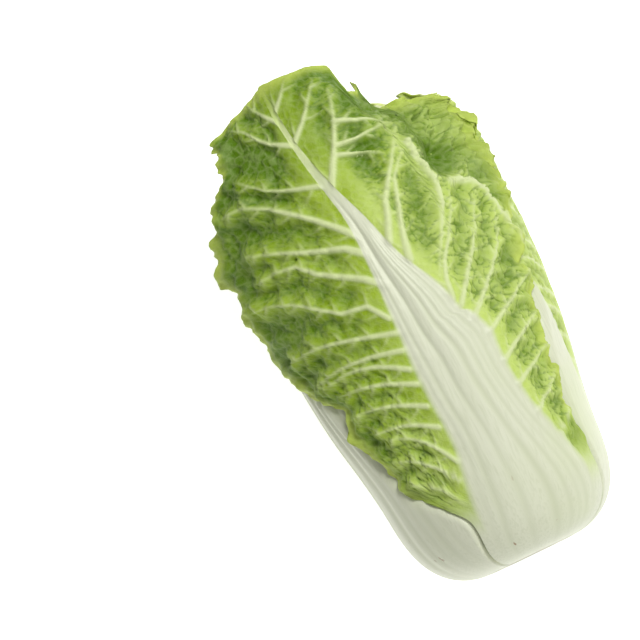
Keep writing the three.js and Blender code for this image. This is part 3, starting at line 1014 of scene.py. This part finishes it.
def young_tip(radius, tip, count, turn, half, k):
    """One of a ring's young leaves: the points and masks of a closed shell, and its faces."""
    rows, columns = 70, 90
    up, column = np.meshgrid(np.linspace(0, 1, rows + 1), np.linspace(-1, 1, columns + 1), indexing="ij")
    y = mix(TIP_ROOT_Y, tip - 9 * column**2, up)
    degrees = turn + 360 * k / count + column * half
    across = np.radians(degrees) * radius
    wave = up * up * 1.6 * np.sin(4.05 * (column + 1) + 1.7 * k + 4.2 * up)
    vein = clamp(np.exp(-((column / 0.07) ** 2)) + 0.6 * cells(y, across, 7, k + 2), 0, 1)
    hollow = 0.5 * (1 - vein) * smooth(0, 0.2, 1 - np.abs(column))
    r = radius * (1 - 0.3 * up * up) + wave - hollow
    rib = np.exp(-((column / 0.12) ** 2)) * smooth(0.9, 0.3, up)
    masks = flat_masks(y, degrees, rib, vein, smooth(0.85, 1, np.maximum(up, np.abs(column))))
    inner = place(y, r - EDGE_THICKNESS, degrees, 0)
    return shell_points(place(y, r, degrees, 0), inner, masks), shell_faces(rows, columns)


def revolved(profile, sides, finish):
    """A closed body turned round the head's axis. finish changes the rings' points and gives their masks."""
    rings = np.array(profile, float)
    angle, r = np.meshgrid(np.arange(sides) * 360 / sides, rings[:, 0])
    y = np.repeat(rings[:, 1][:, None], sides, axis=1)
    points, masks = finish(y, r, angle)
    ends = [place(np.array([rings[k, 1]]), np.array([0.0]), np.array([0.0]), 0) for k in (0, -1)]
    points = np.concatenate([points.reshape(-1, 3), *ends])
    masks = {name: np.concatenate([m.ravel(), m[0, :1], m[-1, :1]]) for name, m in masks.items()}
    faces = []
    last = len(rings) - 1
    for j in range(sides):
        n = (j + 1) % sides
        for i in range(last):
            faces.append((i * sides + j, i * sides + n, (i + 1) * sides + n, (i + 1) * sides + j))
        faces.append((len(points) - 2, n, j))
        faces.append((len(points) - 1, last * sides + j, last * sides + n))
    return points, faces, masks


def core():
    """The dense core of the heart, with shallow folds along it."""
    def finish(y, r, angle):
        degrees = (angle + 180) % 360 - 180
        folds = 0.5 + 0.5 * np.sin(np.radians(5 * angle) + 0.03 * y)
        r = r - 1.2 * folds * smooth(60, 120, y)
        return place(y, r, angle, 0), flat_masks(y, degrees, smooth(170, 90, y), folds, np.zeros_like(y))

    ys = np.linspace(HEART_START_Y, CORE_TOP - 2, 90)
    profile = [(r, y) for r, y in zip((heart_radius(ys) - 2) * closing(ys, 185, CORE_TOP + 4), ys)]
    return revolved(profile, 120, finish)


def heart():
    """The core and the young tips round it, as one piece."""
    points, faces, masks = core()
    for ring in TIP_RINGS:
        for k in range(ring["count"]):
            (more, more_masks), more_faces = young_tip(k=k, **ring)
            faces += [tuple(v + len(points) for v in face) for face in more_faces]
            points = np.concatenate([points, more])
            masks = {name: np.concatenate([masks[name], more_masks[name]]) for name in masks}
    piece = new_piece("heart_leaves", points, faces, masks, INNER)
    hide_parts("heart")


heart()


def stem():
    """The stem, with a rough cut face: sunk pith, a ring of vessels and an uneven raised rim."""
    outline = through([
        (0, 0.8), (STEM_RADIUS - 5, 0.8), (STEM_RADIUS - 2.5, 0), (STEM_RADIUS - 0.6, 0.6),
        (STEM_RADIUS, 2.5),
    ])
    face = [(r, float(outline(r))) for r in np.linspace(0.6, STEM_RADIUS, 60)]
    side = [(STEM_RADIUS, y) for y in np.linspace(4, 34, 16)]
    shares = np.linspace(0.1, 1, 8)
    shoulder = [(mix(STEM_RADIUS, STEM_RADIUS - 6, k), mix(34, STEM_LENGTH, k)) for k in shares]

    def finish(y, r, angle):
        spread = smooth(8, 2, y)
        way = np.radians(angle)
        rough = bumps(r * np.cos(way), r * np.sin(way), 5, 3)
        y_rough = y + spread * np.maximum(rough, -0.6) * 0.6 * smooth(STEM_RADIUS, STEM_RADIUS - 3, r)
        out = np.where(y < 6, r / STEM_RADIUS, 1.0)
        return place(y_rough + 0.3 * spread, r - 0.15, angle, 0), {"out": out}

    points, faces, masks = revolved(face + side + shoulder, 180, finish)
    piece = new_piece("cut_stem", points, faces, masks, CUT_FLESH)
    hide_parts("stem")


stem()

# Floor, light and camera


def floor():
    mesh = bpy.data.meshes.new("Floor")
    half = 3.0
    corners = [(-half, -half, 0), (half, -half, 0), (half, half, 0), (-half, half, 0)]
    mesh.from_pydata(corners, [], [(0, 1, 2, 3)])
    material = bpy.data.materials.new("White floor")
    material.use_nodes = True
    shader = material.node_tree.nodes["Principled BSDF"]
    shader.inputs["Base Color"].default_value = (0.92, 0.92, 0.92, 1)
    shader.inputs["Roughness"].default_value = 0.8
    shader.inputs["Emission Color"].default_value = (1, 1, 1, 1)
    shader.inputs["Emission Strength"].default_value = 0.78
    mesh.materials.append(material)
    piece = bpy.data.objects.new("Floor", mesh)
    bpy.context.collection.objects.link(piece)


def soft_light(name, size, power, position, target):
    light = bpy.data.lights.new(name, "AREA")
    light.size = size
    light.energy = power
    lamp = bpy.data.objects.new(name, light)
    lamp.location = position
    lamp.rotation_euler = (Vector(target) - Vector(position)).to_track_quat("-Z", "Y").to_euler()
    bpy.context.collection.objects.link(lamp)


def world_light(strength):
    world = bpy.data.worlds.new("Soft white")
    world.use_nodes = True
    background = world.node_tree.nodes["Background"]
    background.inputs["Color"].default_value = (1, 1, 1, 1)
    background.inputs["Strength"].default_value = strength
    bpy.context.scene.world = world


LIGHT_TARGET = (0, 0, 0.05)
CAMERA_AZIMUTH = -25.8
CAMERA_ELEVATION = 80
CAMERA_DISTANCE = 1.05
CAMERA_LENS = 99.6
HEAD_MIDDLE = Vector((0, 0, 0.07))
# How far the middle of the picture lies from the head's middle, in metres
AIM_RIGHT = -0.0529
AIM_UP = 0.004


def camera():
    azimuth, elevation = np.radians((CAMERA_AZIMUTH, CAMERA_ELEVATION))
    back = Vector((
        np.sin(azimuth) * np.cos(elevation), -np.cos(azimuth) * np.cos(elevation), np.sin(elevation),
    ))
    right = Vector((np.cos(azimuth), np.sin(azimuth), 0))
    up = back.cross(right)
    eye = bpy.data.objects.new("Camera", bpy.data.cameras.new("Camera"))
    eye.data.lens = CAMERA_LENS
    eye.location = HEAD_MIDDLE + back * CAMERA_DISTANCE
    aim = HEAD_MIDDLE + right * AIM_RIGHT + up * AIM_UP
    toward = (eye.location - aim).normalized()
    side = up.cross(toward).normalized()
    eye.rotation_euler = Matrix((side, toward.cross(side), toward)).transposed().to_euler()
    bpy.context.collection.objects.link(eye)
    bpy.context.scene.camera = eye


floor()
world_light(0.24)
soft_light("Key", size=0.4, power=10.5, position=(0.45, 0.3, 1.2), target=LIGHT_TARGET)
soft_light("Fill", size=1.0, power=3, position=(0.1, -0.95, 0.8), target=LIGHT_TARGET)
camera()
bpy.context.scene.view_settings.view_transform = "Standard"
